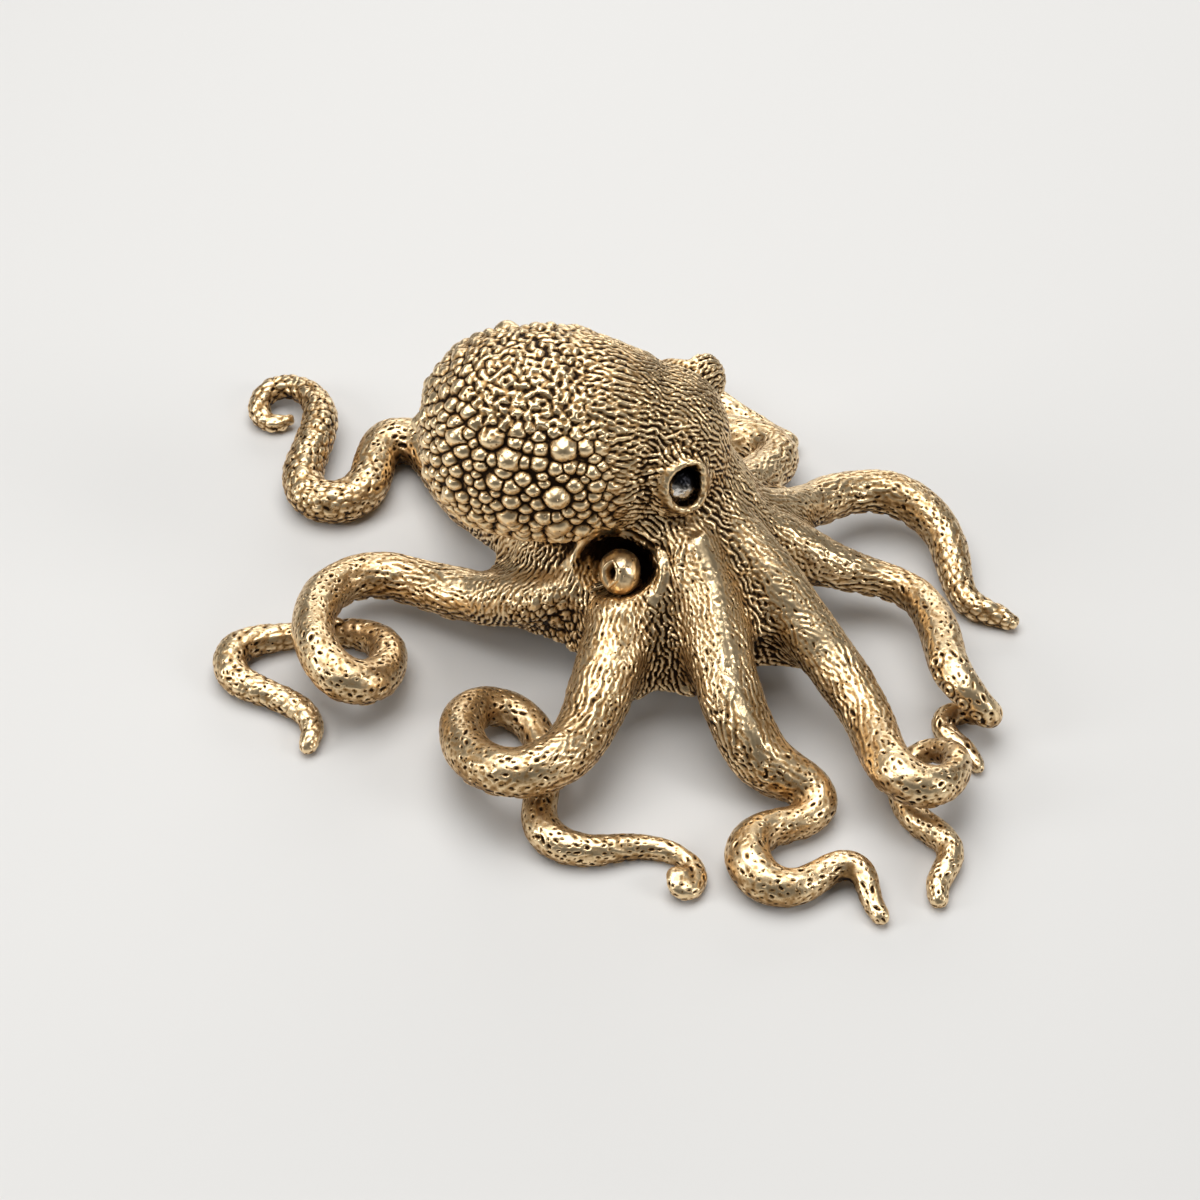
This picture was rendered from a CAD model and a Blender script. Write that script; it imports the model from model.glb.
import math

import bmesh
import bpy
import numpy as np
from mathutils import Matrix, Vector, kdtree
from mathutils.bvhtree import BVHTree


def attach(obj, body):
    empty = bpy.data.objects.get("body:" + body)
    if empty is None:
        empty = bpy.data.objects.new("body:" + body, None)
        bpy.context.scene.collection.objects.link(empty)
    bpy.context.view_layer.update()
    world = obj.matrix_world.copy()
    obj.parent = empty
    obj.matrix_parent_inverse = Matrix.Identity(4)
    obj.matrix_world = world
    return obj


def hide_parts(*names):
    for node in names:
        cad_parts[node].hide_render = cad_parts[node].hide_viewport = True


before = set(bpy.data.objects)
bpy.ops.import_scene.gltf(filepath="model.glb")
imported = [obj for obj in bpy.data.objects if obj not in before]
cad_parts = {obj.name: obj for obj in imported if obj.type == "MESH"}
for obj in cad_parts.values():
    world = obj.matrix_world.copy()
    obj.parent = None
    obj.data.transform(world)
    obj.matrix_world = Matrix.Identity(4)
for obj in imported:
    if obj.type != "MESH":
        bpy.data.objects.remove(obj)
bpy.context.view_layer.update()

# A cast brass octopus on its eight coiled arms. It is shaped in millimetres and
# brought to metres at the end. The CAD gives the head, the web and the mantle,
# and the arms are swept along the same routes as in the CAD.

MILLIMETRE = 0.001
DRAWS = np.random.default_rng(7)

# Places shared with the CAD
HEAD = np.array((3.5, 5.3, 17.6))
MOUTH = np.array((2.75, 5.3, 18.16))
MANTLE_AHEAD = np.array((math.cos(math.radians(4)), 0.0, -math.sin(math.radians(4))))
MANTLE_LENGTH = 19.2
MANTLE_RADIUS = 8.8
MANTLE_OUTLINE = [
    (0.00, 0.00), (0.03, 0.38), (0.12, 0.70), (0.28, 0.92),
    (0.50, 1.00), (0.70, 0.98), (0.87, 0.88), (1.00, 0.75),
]
EYE_TURN = math.radians(24)
EYE_TILT = math.radians(20)
EYE_SPACING = 13.6
EYE_AHEAD = 1.9
EYE_ABOVE = 1.5
SIPHON_TIP = np.array((-0.5, -3.5, 10.5))
SIPHON_TURN = math.radians(45)
SIPHON_RISE = math.radians(26)
SIPHON_LENGTH = 5.0
RECESS_RADIUS = 3.1

# Routes of the arms: the joint, the reach and the thickness, then rows of x and
# y from the joint as shares of the reach, and the clear height and the radius as
# shares of the thickness. Three rows of each lie on the web before its joint.
ARMS = {
    "front_left_arm": ((-1.1, -10.5), 20.0, 5.6, [
        (0.17, 0.55, 1.50, 0.34), (0.10, 0.37, 1.25, 0.42), (0.06, 0.20, 0.92, 0.49),
        (0.00, 0.00, 0.55, 0.50), (-0.05, -0.18, 0.52, 0.46), (-0.12, -0.35, 0.58, 0.43),
        (-0.24, -0.49, 0.68, 0.39), (-0.40, -0.51, 0.68, 0.36), (-0.54, -0.40, 0.54, 0.35),
        (-0.60, -0.20, 0.35, 0.35), (-0.57, -0.02, 0.17, 0.33), (-0.45, 0.06, 0.03, 0.30),
        (-0.32, 0.00, -0.02, 0.27), (-0.24, -0.16, -0.03, 0.27), (-0.24, -0.36, -0.03, 0.27),
        (-0.28, -0.53, -0.03, 0.28), (-0.24, -0.65, -0.03, 0.28), (-0.14, -0.71, -0.03, 0.26),
        (-0.01, -0.71, -0.03, 0.23), (0.12, -0.67, -0.03, 0.19), (0.25, -0.69, -0.03, 0.17),
        (0.35, -0.75, -0.03, 0.15), (0.385, -0.84, -0.03, 0.14), (0.34, -0.925, 0.00, 0.14),
        (0.265, -0.905, 0.09, 0.13), (0.27, -0.84, 0.18, 0.11),
    ]),
    "left_arm": ((-11.6, 0.1), 22.0, 4.6, [
        (0.48, -0.02, 1.70, 0.38), (0.30, -0.13, 1.15, 0.48), (0.15, -0.06, 0.78, 0.50),
        (0.00, 0.00, 0.44, 0.50), (-0.20, 0.12, 0.27, 0.46), (-0.38, 0.19, 0.31, 0.43),
        (-0.54, 0.14, 0.43, 0.42), (-0.63, -0.03, 0.60, 0.41), (-0.64, -0.22, 0.72, 0.41),
        (-0.57, -0.39, 0.68, 0.42), (-0.45, -0.45, 0.50, 0.42), (-0.345, -0.33, 0.25, 0.40),
        (-0.34, -0.15, 0.06, 0.35), (-0.43, -0.05, -0.02, 0.31), (-0.56, -0.03, -0.03, 0.27),
        (-0.69, -0.04, -0.03, 0.25), (-0.81, -0.06, -0.03, 0.27), (-0.93, -0.10, -0.03, 0.31),
        (-0.975, -0.20, -0.03, 0.32), (-0.92, -0.30, -0.03, 0.30), (-0.82, -0.34, -0.03, 0.27),
        (-0.72, -0.39, -0.03, 0.25), (-0.64, -0.45, -0.03, 0.23), (-0.615, -0.53, -0.03, 0.21),
        (-0.635, -0.60, -0.02, 0.18),
    ]),
    "rear_left_arm": ((-11.8, 10.9), 27.0, 4.5, [
        (0.36, -0.30, 1.70, 0.40), (0.20, -0.30, 1.10, 0.50), (0.09, -0.13, 0.74, 0.50),
        (0.00, 0.00, 0.43, 0.50), (-0.08, 0.14, 0.20, 0.48), (-0.14, 0.28, 0.05, 0.48),
        (-0.195, 0.395, -0.02, 0.47), (-0.285, 0.445, -0.03, 0.45), (-0.36, 0.39, -0.03, 0.44),
        (-0.36, 0.28, -0.03, 0.44), (-0.385, 0.18, -0.03, 0.44), (-0.47, 0.125, -0.03, 0.43),
        (-0.555, 0.15, -0.03, 0.42), (-0.60, 0.22, -0.02, 0.42), (-0.585, 0.34, 0.05, 0.41),
        (-0.54, 0.48, 0.12, 0.38), (-0.56, 0.60, 0.17, 0.32), (-0.625, 0.685, 0.16, 0.26),
        (-0.70, 0.71, 0.10, 0.24), (-0.765, 0.665, 0.04, 0.24), (-0.77, 0.58, -0.01, 0.22),
        (-0.715, 0.535, 0.01, 0.19), (-0.66, 0.56, 0.07, 0.15),
    ]),
    "front_arm": ((8.7, -10.8), 23.0, 5.4, [
        (-0.16, 0.54, 2.35, 0.32), (-0.12, 0.38, 1.98, 0.42), (-0.04, 0.18, 1.30, 0.50),
        (0.00, 0.00, 0.74, 0.50), (0.04, -0.14, 0.48, 0.48), (0.11, -0.255, 0.14, 0.48),
        (0.20, -0.30, 0.05, 0.41), (0.295, -0.33, 0.00, 0.34), (0.34, -0.40, -0.02, 0.30),
        (0.28, -0.48, -0.03, 0.27), (0.17, -0.50, -0.03, 0.28), (0.08, -0.56, -0.03, 0.33),
        (0.055, -0.66, -0.03, 0.35), (0.11, -0.76, -0.03, 0.33), (0.21, -0.79, -0.03, 0.29),
        (0.30, -0.74, 0.00, 0.26), (0.375, -0.68, 0.08, 0.24), (0.445, -0.685, 0.11, 0.22),
        (0.475, -0.74, 0.05, 0.21), (0.485, -0.81, -0.02, 0.19), (0.52, -0.88, -0.02, 0.16),
    ]),
    "front_right_arm": ((17.4, -8.1), 22.0, 4.6, [
        (-0.40, 0.46, 2.40, 0.40), (-0.26, 0.30, 1.88, 0.48), (-0.13, 0.15, 1.23, 0.53),
        (0.00, 0.00, 0.76, 0.50), (0.10, -0.14, 0.55, 0.48), (0.155, -0.29, 0.50, 0.45),
        (0.175, -0.44, 0.60, 0.44), (0.23, -0.58, 0.73, 0.43), (0.34, -0.62, 0.75, 0.38),
        (0.44, -0.53, 0.62, 0.32), (0.465, -0.40, 0.47, 0.27), (0.41, -0.31, 0.31, 0.24),
        (0.32, -0.295, 0.14, 0.22), (0.25, -0.37, 0.01, 0.22), (0.245, -0.49, -0.03, 0.25),
        (0.29, -0.605, -0.03, 0.29), (0.37, -0.67, -0.03, 0.28), (0.43, -0.735, -0.03, 0.25),
        (0.40, -0.82, -0.03, 0.24), (0.35, -0.90, -0.03, 0.22), (0.36, -0.965, -0.02, 0.18),
    ]),
    "right_arm": ((16.9, 3.5), 22.0, 4.1, [
        (-0.40, 0.03, 2.45, 0.40), (-0.24, 0.00, 1.85, 0.50), (-0.10, 0.01, 1.30, 0.52),
        (0.00, 0.00, 0.94, 0.50), (0.11, 0.00, 0.66, 0.44), (0.23, -0.01, 0.53, 0.40),
        (0.34, -0.05, 0.50, 0.38), (0.42, -0.15, 0.53, 0.41), (0.46, -0.33, 0.67, 0.44),
        (0.46, -0.49, 0.79, 0.43), (0.50, -0.61, 0.86, 0.39), (0.55, -0.67, 0.80, 0.34),
        (0.605, -0.705, 0.62, 0.30), (0.635, -0.68, 0.34, 0.28), (0.595, -0.62, 0.12, 0.26),
        (0.52, -0.59, -0.02, 0.25), (0.455, -0.62, -0.03, 0.25), (0.45, -0.69, -0.03, 0.25),
        (0.495, -0.745, -0.03, 0.24), (0.55, -0.795, -0.03, 0.21), (0.575, -0.855, -0.02, 0.17),
    ]),
    "rear_right_arm": ((16.6, 10.4), 19.5, 4.0, [
        (-0.36, -0.28, 2.30, 0.42), (-0.19, -0.20, 1.55, 0.52), (-0.08, -0.09, 1.10, 0.52),
        (0.00, 0.00, 0.83, 0.50), (0.12, 0.12, 0.64, 0.48), (0.28, 0.18, 0.55, 0.47),
        (0.43, 0.155, 0.44, 0.48), (0.55, 0.06, 0.30, 0.46), (0.625, -0.06, 0.15, 0.42),
        (0.64, -0.20, 0.04, 0.39), (0.65, -0.33, -0.01, 0.34), (0.71, -0.415, -0.03, 0.31),
        (0.80, -0.445, -0.03, 0.27), (0.87, -0.485, -0.02, 0.21),
    ]),
    "rear_arm": ((11.4, 13.3), 19.0, 4.2, [
        (-0.28, -0.40, 2.10, 0.42), (-0.18, -0.28, 1.45, 0.50), (-0.08, -0.13, 1.05, 0.50),
        (0.00, 0.00, 0.76, 0.50), (0.09, 0.14, 0.48, 0.49), (0.155, 0.27, 0.25, 0.49),
        (0.13, 0.39, 0.12, 0.48), (0.02, 0.47, 0.06, 0.47), (-0.12, 0.52, 0.03, 0.45),
        (-0.27, 0.58, 0.00, 0.43), (-0.39, 0.68, -0.03, 0.39), (-0.42, 0.80, -0.03, 0.35),
        (-0.33, 0.89, -0.03, 0.32), (-0.19, 0.86, -0.03, 0.30), (-0.05, 0.73, -0.03, 0.28),
        (0.05, 0.64, -0.03, 0.265), (0.14, 0.565, -0.03, 0.26), (0.205, 0.50, -0.01, 0.27),
    ]),
}
ROWS_ON_WEB = 3
STEPS_PER_ROW = 12

# The rough casting's voxels, the fillets' size, the rise of the web between two
# arms, and a distance and a place along an arm that stand for none
COARSE_VOXEL = 0.25
FILLET = 1.3
WEB_ARCH = 1.3
FAR = 9.0
BEFORE_ALL = -99.0

# The middle of the mantle's top, from which the grain of the skin spreads, and the
# middle of a patch of small beads in the web
CROWN = np.array((-1.5, 5.3, 19.5))
SMALL_BEADS = np.array((-5.5, -4.2, 5.0))

# How far the lip and the eye rims stand out of the skin
LIP_PROUD = 0.22
EYE_RIM_PROUD = 0.05

# The suckers: how far round the arm the two rows lean, their radius as a share of
# the arm's, where they face down and where they face the front, and their pitch
SUCKER_LEAN = math.radians(27)
SUCKER_SHARE = 0.42
FRONT_SUCKER_SHARE = 0.34
SUCKER_PITCH = 1.24

# How high or deep each kind of skin is at its most, and the least share of a kind
# for which its grains are made
BEAD_HIGH = 0.44
WORM_HIGH = 0.30
SCALE_HIGH = 0.20
WRINKLE_HIGH = 0.19
SMALL_BEAD_HIGH = 0.22
ARM_RIDGE_HIGH = 0.10
COIL_SCALE_HIGH = 0.13
BRIGHT_RIDGE_HIGH = 0.46
ARM_PIT_DEEP = 0.22
BODY_PIT_DEEP = 0.19
DENT_DEEP = 0.38
GROOVE_DEEP = 0.22
LEAST_SHARE = 0.02


# Small helpers for the modelling


def only(piece):
    """Selects one object and makes it active, with everything else deselected."""
    bpy.ops.object.select_all(action="DESELECT")
    piece.select_set(True)
    bpy.context.view_layer.objects.active = piece


def apply_modifier(piece, kind, **settings):
    only(piece)
    modifier = piece.modifiers.new(kind.title(), kind)
    for setting, value in settings.items():
        setattr(modifier, setting, value)
    bpy.ops.object.modifier_apply(modifier=modifier.name)


def join(pieces):
    only(pieces[0])
    for piece in pieces:
        piece.select_set(True)
    bpy.ops.object.join()
    return bpy.context.view_layer.objects.active


def new_object(name, mesh):
    piece = bpy.data.objects.new(name, mesh)
    bpy.context.scene.collection.objects.link(piece)
    return piece


def cad_copy(node):
    """A copy of a CAD node's mesh in millimetres, with its loose triangles merged."""
    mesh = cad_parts[node].data.copy()
    mesh.materials.clear()
    shape = bmesh.new()
    shape.from_mesh(mesh)
    bmesh.ops.scale(shape, vec=(1 / MILLIMETRE,) * 3, verts=shape.verts)
    bmesh.ops.remove_doubles(shape, verts=shape.verts, dist=0.001)
    shape.to_mesh(mesh)
    shape.free()
    return new_object(node + "_copy", mesh)


def points_of(mesh):
    points = np.empty(len(mesh.vertices) * 3, np.float32)
    mesh.vertices.foreach_get("co", points)
    return points.reshape(-1, 3).astype(float)


def normals_of(mesh):
    normals = np.empty(len(mesh.vertices) * 3, np.float32)
    mesh.vertex_normals.foreach_get("vector", normals)
    return normals.reshape(-1, 3).astype(float)


def quads_of(mesh):
    """The four corners of every face, in a mesh that has only such faces."""
    corners = np.empty(len(mesh.loops), np.int32)
    mesh.loops.foreach_get("vertex_index", corners)
    return corners.reshape(-1, 4)


def give_values(mesh, name, values):
    """A number for every point of the mesh, kept under this name."""
    attribute = mesh.attributes.new(name, "FLOAT", "POINT")
    attribute.data.foreach_set("value", values.astype(np.float32))


def put_points(mesh, points):
    mesh.vertices.foreach_set("co", points.astype(np.float32).ravel())
    mesh.update()


def weigh(piece, weights):
    """A vertex group with these weights, in sixteen steps."""
    steps = np.rint(np.clip(weights, 0, 1) * 16).astype(int)
    group = piece.vertex_groups.new(name="weights")
    for step in range(1, 17):
        group.add(np.flatnonzero(steps == step).tolist(), step / 16, "REPLACE")
    return group.name


def remesh(piece):
    apply_modifier(piece, "REMESH", mode="VOXEL", voxel_size=COARSE_VOXEL)


def push(piece, distance, weights):
    """Moves the skin outwards by this distance times each point's weight."""
    group = weigh(piece, weights)
    apply_modifier(piece, "DISPLACE", strength=distance, mid_level=0, vertex_group=group)
    piece.vertex_groups.clear()


def tree_of(points):
    """A search tree that holds these points."""
    tree = kdtree.KDTree(len(points))
    for number, point in enumerate(points):
        tree.insert(point, number)
    tree.balance()
    return tree


def ramp(low, high, values):
    """0 below low, 1 above high, and smooth between them."""
    t = np.clip((values - low) / (high - low), 0, 1)
    return t * t * (3 - 2 * t)


def unit(vectors):
    length = np.linalg.norm(vectors, axis=-1, keepdims=True)
    return vectors / np.maximum(length, 1e-9)


def distance_to(place, points):
    return np.linalg.norm(points - place, axis=1)


def hump(values, middle, width):
    """1 at the middle, and smoothly less to both sides."""
    return np.exp(-(((values - middle) / width) ** 2))


def tube(name, places, radii, rounding, closed=False, to_ends=False):
    """A round tube on a smooth curve by these places, as thick as the radii say."""
    curve = bpy.data.curves.new(name, "CURVE")
    curve.dimensions = "3D"
    curve.resolution_u = 8
    curve.bevel_depth = 1.0
    curve.bevel_resolution = rounding
    curve.use_fill_caps = True
    spline = curve.splines.new("NURBS")
    spline.points.add(len(places) - 1)
    for point, place, radius in zip(spline.points, places, radii):
        point.co = (*place, 1)
        point.radius = radius
    spline.order_u = 4
    spline.use_cyclic_u = closed
    spline.use_endpoint_u = to_ends
    piece = new_object(name, curve)
    only(piece)
    bpy.ops.object.convert(target="MESH")
    return piece


# The routes of the arms


class Route:
    """An arm's smooth middle line: places, directions, radii and distance along it."""

    def __init__(self, joint, reach, thickness, rows):
        knots = []
        for x, y, clear, share in rows:
            radius = share * thickness
            height = clear * thickness + radius
            knots.append((joint[0] + x * reach, joint[1] + y * reach, height, radius))
        knots = np.array(knots)
        before = 2 * knots[0] - knots[1]
        after = 2 * knots[-1] - knots[-2]
        self.knots = np.vstack([before, knots, after])
        t = (np.arange(STEPS_PER_ROW) / STEPS_PER_ROW)[:, None]
        weights = [
            (1 - t) ** 3 / 6,
            (3 * t**3 - 6 * t**2 + 4) / 6,
            (3 * t - 3 * t**3 + 3 * t**2 + 1) / 6,
            t**3 / 6,
        ]
        runs = []
        for i in range(len(self.knots) - 3):
            runs.append(sum(w * self.knots[i + j] for j, w in enumerate(weights)))
        self.end = (self.knots[-3] + 4 * self.knots[-2] + self.knots[-1]) / 6
        line = np.vstack(runs + [self.end[None]])
        self.places = line[:, :3]
        self.radii = line[:, 3]
        legs = np.linalg.norm(np.diff(self.places, axis=0), axis=1)
        self.along = np.concatenate([[0], np.cumsum(legs)])
        self.ahead = unit(np.gradient(self.places, axis=0))
        self.along -= self.along[ROWS_ON_WEB * STEPS_PER_ROW]
        self.length = self.along[-1]

    def at(self, along):
        """Place, direction and radius at a distance beyond the joint."""
        joined = np.hstack([self.places, self.ahead, self.radii[:, None]])
        found = np.array([np.interp(along, self.along, column) for column in joined.T])
        return found[:3], unit(found[3:6]), found[6]


routes = {name: Route(*sizes) for name, sizes in ARMS.items()}
arm_names = list(routes)


def arm_fields(points):
    """For each point: the nearest arm, how far along it, the gap to it, and its course."""
    nearest = np.full(len(points), -1)
    gap = np.full(len(points), FAR)
    along = np.full(len(points), BEFORE_ALL)
    ahead = np.zeros((len(points), 3))
    for number, route in enumerate(routes.values()):
        low = route.places.min(0) - FAR / 2
        high = route.places.max(0) + FAR / 2
        inside = np.flatnonzero(((points > low) & (points < high)).all(1))
        for chunk in np.array_split(inside, max(1, len(inside) // 20000)):
            here = points[chunk]
            square = (here**2).sum(1)[:, None] + (route.places**2).sum(1)[None]
            square -= 2 * here @ route.places.T
            away = np.sqrt(np.maximum(square, 0)) - route.radii[None]
            best = away.argmin(1)
            gaps = away[np.arange(len(chunk)), best]
            closer = gaps < gap[chunk]
            chosen = chunk[closer]
            step = best[closer]
            nearest[chosen] = number
            gap[chosen] = gaps[closer]
            reach = here[closer] - route.places[step]
            forward = (reach * route.ahead[step]).sum(1)
            along[chosen] = route.along[step] + forward
            ahead[chosen] = route.ahead[step]
    return nearest, along, gap, ahead


def arm_tube(name):
    """An arm as a round tube along its route, with a ball at its tip."""
    route = routes[name]
    arm = tube(name + "_tube", route.knots[:, :3], route.knots[:, 3], 6)
    bpy.ops.mesh.primitive_ico_sphere_add(
        subdivisions=4, radius=route.end[3], location=route.end[:3].tolist()
    )
    return join([arm, bpy.context.object])


# The mantle's form


def mantle_fields(points):
    """For each point: how far along the mantle it is, and how far outside it."""
    tip = MOUTH - MANTLE_AHEAD * MANTLE_LENGTH
    reach = points - tip
    along = reach @ MANTLE_AHEAD
    out = np.linalg.norm(reach - along[:, None] * MANTLE_AHEAD, axis=1)
    shares = np.array(MANTLE_OUTLINE)
    outline = np.interp(along / MANTLE_LENGTH, shares[:, 0], shares[:, 1], left=0)
    return along, out - outline * MANTLE_RADIUS


def eye_frame(side):
    """The rim's middle, and the directions out of it, ahead in it and up in it."""
    middle = HEAD + np.array((EYE_AHEAD, side * EYE_SPACING / 2, EYE_ABOVE))
    out = np.array((
        math.sin(EYE_TURN) * math.cos(EYE_TILT),
        side * math.cos(EYE_TURN) * math.cos(EYE_TILT),
        math.sin(EYE_TILT),
    ))
    forward = np.array((math.cos(EYE_TURN), -side * math.sin(EYE_TURN), 0))
    up = np.cross(out, forward) * -side
    return middle, out, forward, up


eye_frames = [eye_frame(-1), eye_frame(1)]
siphon_out = -np.array((
    math.cos(SIPHON_TURN) * math.cos(SIPHON_RISE),
    math.sin(SIPHON_TURN) * math.cos(SIPHON_RISE),
    math.sin(SIPHON_RISE),
))
recess = SIPHON_TIP - siphon_out * (SIPHON_LENGTH - RECESS_RADIUS)

# Directions across, up and towards a maker who sees the figure from the front
ACROSS = np.array((1.0, 0.0, 0.0))
UPWARD = np.array((0.0, 0.719, 0.695))
TOWARD = np.array((0.0, -0.695, 0.719))


def near_body(points):
    """1 where the arms, the head and the mantle run together, and 0 elsewhere."""
    nearest, along, gap, _ = arm_fields(points)
    mantle_along, mantle_gap = mantle_fields(points)
    on_arm = (gap < 1.6) & (nearest >= 0)
    weight = np.where(on_arm, 1 - ramp(0.5, 5.0, along), 1.0)
    near_mouth = ramp(MANTLE_LENGTH - 7, MANTLE_LENGTH - 2, mantle_along)
    weight *= np.maximum(near_mouth, ramp(0.3, 2.0, mantle_gap))
    for eye, *_ in eye_frames:
        weight *= ramp(3.0, 5.5, distance_to(eye, points))
    return weight * ramp(3.3, 5.2, distance_to(recess, points))


def swelling(place, radius):
    """A ball that fills out the skin, at a place from the middle of the head."""
    place = HEAD + np.array(place)
    bpy.ops.mesh.primitive_ico_sphere_add(
        subdivisions=5, radius=radius, location=place.tolist()
    )
    return bpy.context.object


# The rough casting: the CAD's body and mantle, and the eight tubes, run together
casting = join(
    [cad_copy("head_and_web"), cad_copy("mantle")]
    + [arm_tube(name) for name in arm_names]
    + [
        swelling((0.2, -4.3, 1.6), 3.0),
        swelling((3.2, 6.2, 1.5), 2.3),
        swelling((2.7, 7.2, 2.7), 0.95),
        swelling((1.45, -32.75, -16.45), 0.95),
        swelling((-0.1, -12.4, -15.7), 1.7),
        swelling((-2.1, -14.3, -14.2), 1.4),
        swelling((2.2, -14.3, -14.0), 1.4),
    ]
)
casting.name = "casting"
remesh(casting)

# Fillets: the body is swollen and shrunk again by as much, which fills the corners
swell = near_body(points_of(casting.data))
push(casting, FILLET, swell)
tree = tree_of(points_of(casting.data))
remesh(casting)
swell = swell[[tree.find(point)[1] for point in points_of(casting.data)]]
push(casting, -FILLET, swell)
remesh(casting)
group = weigh(casting, 0.12 + 0.88 * near_body(points_of(casting.data)))
apply_modifier(casting, "SMOOTH", factor=0.5, iterations=14, vertex_group=group)
casting.vertex_groups.clear()

# The web rises in an arch between two arms
points = points_of(casting.data)
beside_arm = arm_fields(points)[2]
arch = WEB_ARCH * ramp(0.3, 3.2, beside_arm) * (1 - ramp(0.0, 7.5, points[:, 2]))
arch *= 1 - ramp(-1.0, 1.0, -mantle_fields(points)[1])
points[:, 2] += arch
put_points(casting.data, points)

# The hollow under the mantle's edge opens forwards and down, as a bowl whose
# outline is an ellipse seen from the front
BOWL_MIDDLE = (-1.05, -0.35)
BOWL_RADII = (3.60, 2.58, 2.8)


def bowl_shares(away):
    """How far across and up in the bowl, as shares of its radii."""
    across_share = (away @ ACROSS - BOWL_MIDDLE[0]) / BOWL_RADII[0]
    upward_share = (away @ UPWARD - BOWL_MIDDLE[1]) / BOWL_RADII[1]
    return across_share, upward_share


points = points_of(casting.data)
away = points - recess
bowl_a, bowl_b = bowl_shares(away)
bowl_inside = 1 - bowl_a**2 - bowl_b**2
bowl_open = ramp(-0.25, 1.0, -0.8 * bowl_a - 0.5 * bowl_b)
bowl_depth = BOWL_RADII[2] * (1 - 0.62 * bowl_open)
bowl_back = 0.6 - 0.5 * bowl_open - bowl_depth * np.sqrt(np.maximum(bowl_inside, 0))
depth_now = away @ TOWARD
carved = (bowl_inside > 0) & (depth_now > bowl_back - 1.5) & (depth_now < 6)
points[carved] += ((bowl_back - depth_now)[:, None] * TOWARD)[carved]
put_points(casting.data, points)

# The sockets of the eyes
SOCKET_RADIUS = 1.55
SOCKET_TALL = 1.90
SOCKET_DEPTH = 2.6
for middle, out, forward, up in eye_frames:
    away = points - middle
    inside = 1 - (away @ forward / SOCKET_RADIUS) ** 2 - (away @ up / SOCKET_TALL) ** 2
    floor_there = -SOCKET_DEPTH * np.sqrt(np.maximum(inside, 0))
    rise = away @ out
    carved = (inside > 0) & (rise > floor_there) & (rise < 3)
    points[carved] += ((floor_there - rise)[:, None] * out)[carved]
put_points(casting.data, points)


def skin_at(a, b):
    """Where the skin is first met from the front, a across and b above the recess."""
    start = recess + ACROSS * a + UPWARD * b + TOWARD * 12
    hit = skin_tree.ray_cast(Vector(start), Vector(-TOWARD))[0]
    return np.array(hit)


shape = bmesh.new()
shape.from_mesh(casting.data)
skin_tree = BVHTree.FromBMesh(shape)
shape.free()

# The thin lip of the mantle, which arches over the hollow: places across and
# above the recess as seen from the front, and the lip's radius there
LIP = [
    (-4.9, -0.1, 0.14), (-4.5, 0.55, 0.24), (-3.5, 1.75, 0.31), (-2.3, 2.50, 0.33),
    (-0.9, 2.70, 0.33), (0.6, 2.38, 0.33), (1.9, 1.50, 0.33), (2.75, 0.25, 0.32),
    (2.95, -1.00, 0.28), (2.6, -2.20, 0.20), (2.2, -2.9, 0.12),
]
lip_places = [skin_at(a, b) + TOWARD * LIP_PROUD for a, b, _ in LIP]
lip = tube("lip", lip_places, [radius for _, _, radius in LIP], 5, to_ends=True)

# The shallow dent in the mantle's top, as far across and above the recess
DENT = (-3.7, 15.3)
dent_place = skin_at(*DENT)

# The eye rims: a rounded rim in the shape of a drop, with its corners ahead
EYE_RIM = [
    (-1.80, 0.10), (-1.50, 1.35), (-0.45, 2.02), (0.85, 2.15),
    (1.80, 1.80), (1.62, 0.25), (1.50, -1.40), (0.60, -2.12),
    (-0.60, -2.00), (-1.50, -1.15),
]
EYE_RIM_RADIUS = 0.33
rims = []
for middle, out, forward, up in eye_frames:
    rim_middle = middle + out * EYE_RIM_PROUD
    places = [rim_middle + forward * a + up * b for a, b in EYE_RIM]
    rims.append(tube("eye_rim", places, [EYE_RIM_RADIUS] * len(EYE_RIM), 5, closed=True))

casting = join([casting, lip] + rims)
remesh(casting)
apply_modifier(casting, "SMOOTH", factor=0.5, iterations=2)
mesh = casting.data


def neighbours_of(mesh):
    """Every edge of the mesh in both directions, and how many edges each point has."""
    edges = np.empty(len(mesh.edges) * 2, np.int32)
    mesh.edges.foreach_get("vertices", edges)
    edges = edges.reshape(-1, 2)
    start = np.r_[edges[:, 0], edges[:, 1]]
    end = np.r_[edges[:, 1], edges[:, 0]]
    return start, end, np.bincount(start, minlength=len(mesh.vertices))


def levelled(mesh, values, rounds):
    """These values, each averaged with its neighbours' so many times."""
    start, end, count = neighbours_of(mesh)
    for _ in range(rounds):
        total = [np.bincount(start, column[end], len(values)) for column in values.T]
        values = 0.5 * values + 0.5 * np.array(total).T / count[:, None]
    return values


# How sheltered each place is: how deep it lies below the broad shape around it
points = points_of(mesh)
shelter = levelled(mesh, points, 60) - points
give_values(mesh, "shelter", (shelter * normals_of(mesh)).sum(1))
coarse_quads = quads_of(mesh)
apply_modifier(casting, "SUBSURF", levels=1, render_levels=1)
mesh = casting.data

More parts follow.
